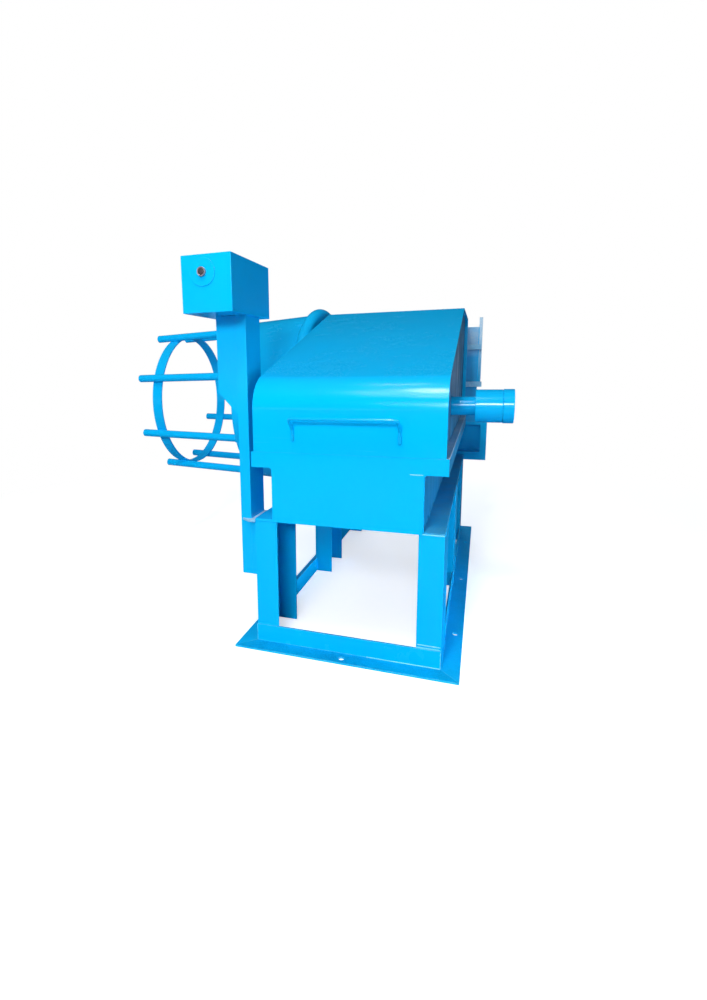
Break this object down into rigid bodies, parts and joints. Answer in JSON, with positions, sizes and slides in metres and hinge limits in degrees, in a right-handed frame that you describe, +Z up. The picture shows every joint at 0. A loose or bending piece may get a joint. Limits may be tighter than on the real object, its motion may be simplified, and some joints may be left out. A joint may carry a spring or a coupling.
{
  "type": "horizontal wire drawing machine",
  "caption": "Wire drawing machine: a steel drum and a wire cage beside a hooded gear drive, on a frame of steel channels.",
  "frame": {"origin": "on the floor at the centre of the base frame, midway between the four corner anchor holes", "axes": "+X along the shafts towards the drive end, -Y towards the hood's front with the handle, +Z up"},
  "size_m": [1.5407, 1.5568, 1.176],
  "materials": {
    "blue_enamel": "gloss",
    "greased_steel": "satin",
    "grey_button": "gloss",
    "pale_bezel": "satin"
  },
  "bodies": {
    "frame": {"base_front_angle": "blue_enamel", "base_left_angle": "blue_enamel", "base_rear_angle": "blue_enamel", "base_right_angle": "blue_enamel", "button_bezel": "pale_bezel", "button_plate": "blue_enamel", "column_front_plate": "blue_enamel", "column_gusset": "blue_enamel", "column_lower_bracket": "blue_enamel", "column_upper_bracket": "blue_enamel", "control_box": "blue_enamel", "control_column": "blue_enamel", "deck_edge_left": "blue_enamel", "deck_edge_right": "blue_enamel", "front_apron": "blue_enamel", "hood_handle": "blue_enamel", "hood_shell": "blue_enamel", "hood_side_left": "blue_enamel", "hood_side_right": "blue_enamel", "input_bearing_left": "blue_enamel", "input_bearing_right": "blue_enamel", "leg_front_left": "blue_enamel", "leg_front_right": "blue_enamel", "leg_middle_left": "blue_enamel", "leg_middle_right": "blue_enamel", "leg_rear_left": "blue_enamel", "leg_rear_right": "blue_enamel", "main_bearing_left": "blue_enamel", "main_bearing_right": "blue_enamel", "motor_tray": "blue_enamel", "rear_apron": "blue_enamel", "side_rail_left": "blue_enamel", "side_rail_right": "blue_enamel", "stand_fin": "blue_enamel", "stand_shelf_lower": "blue_enamel", "stand_shelf_upper": "blue_enamel", "stand_upright": "blue_enamel"},
    "drum": {"main_shaft": "blue_enamel", "drum_shell": "blue_enamel", "drum_face": "blue_enamel", "drum_back": "blue_enamel", "cage_bars": "blue_enamel", "cage_ring": "blue_enamel", "main_gear": "greased_steel"},
    "drive_shaft": {"input_shaft": "blue_enamel", "shaft_sleeve": "blue_enamel", "sleeve_collar": "blue_enamel", "pinion": "greased_steel"},
    "button": {"push_button": "grey_button"}
  },
  "joints": [
    {"name": "drum_spin", "type": "hinge", "parent": "frame", "child": "drum", "pos_m": [-0.45, 0.17, 0.715], "axis": [1, 0, 0], "continuous": true},
    {"name": "drive_spin", "type": "hinge", "parent": "frame", "child": "drive_shaft", "pos_m": [0.13, -0.27981, 0.728], "axis": [1, 0, 0], "continuous": true},
    {"name": "button_press", "type": "slide", "parent": "frame", "child": "button", "axis": [0, 1, 0], "range_m": [0, 0.003], "stiffness_N_per_m": 300}
  ],
  "couplings": [
    {"joint": "drive_spin", "follows": "drum_spin", "ratio": -3}
  ]
}
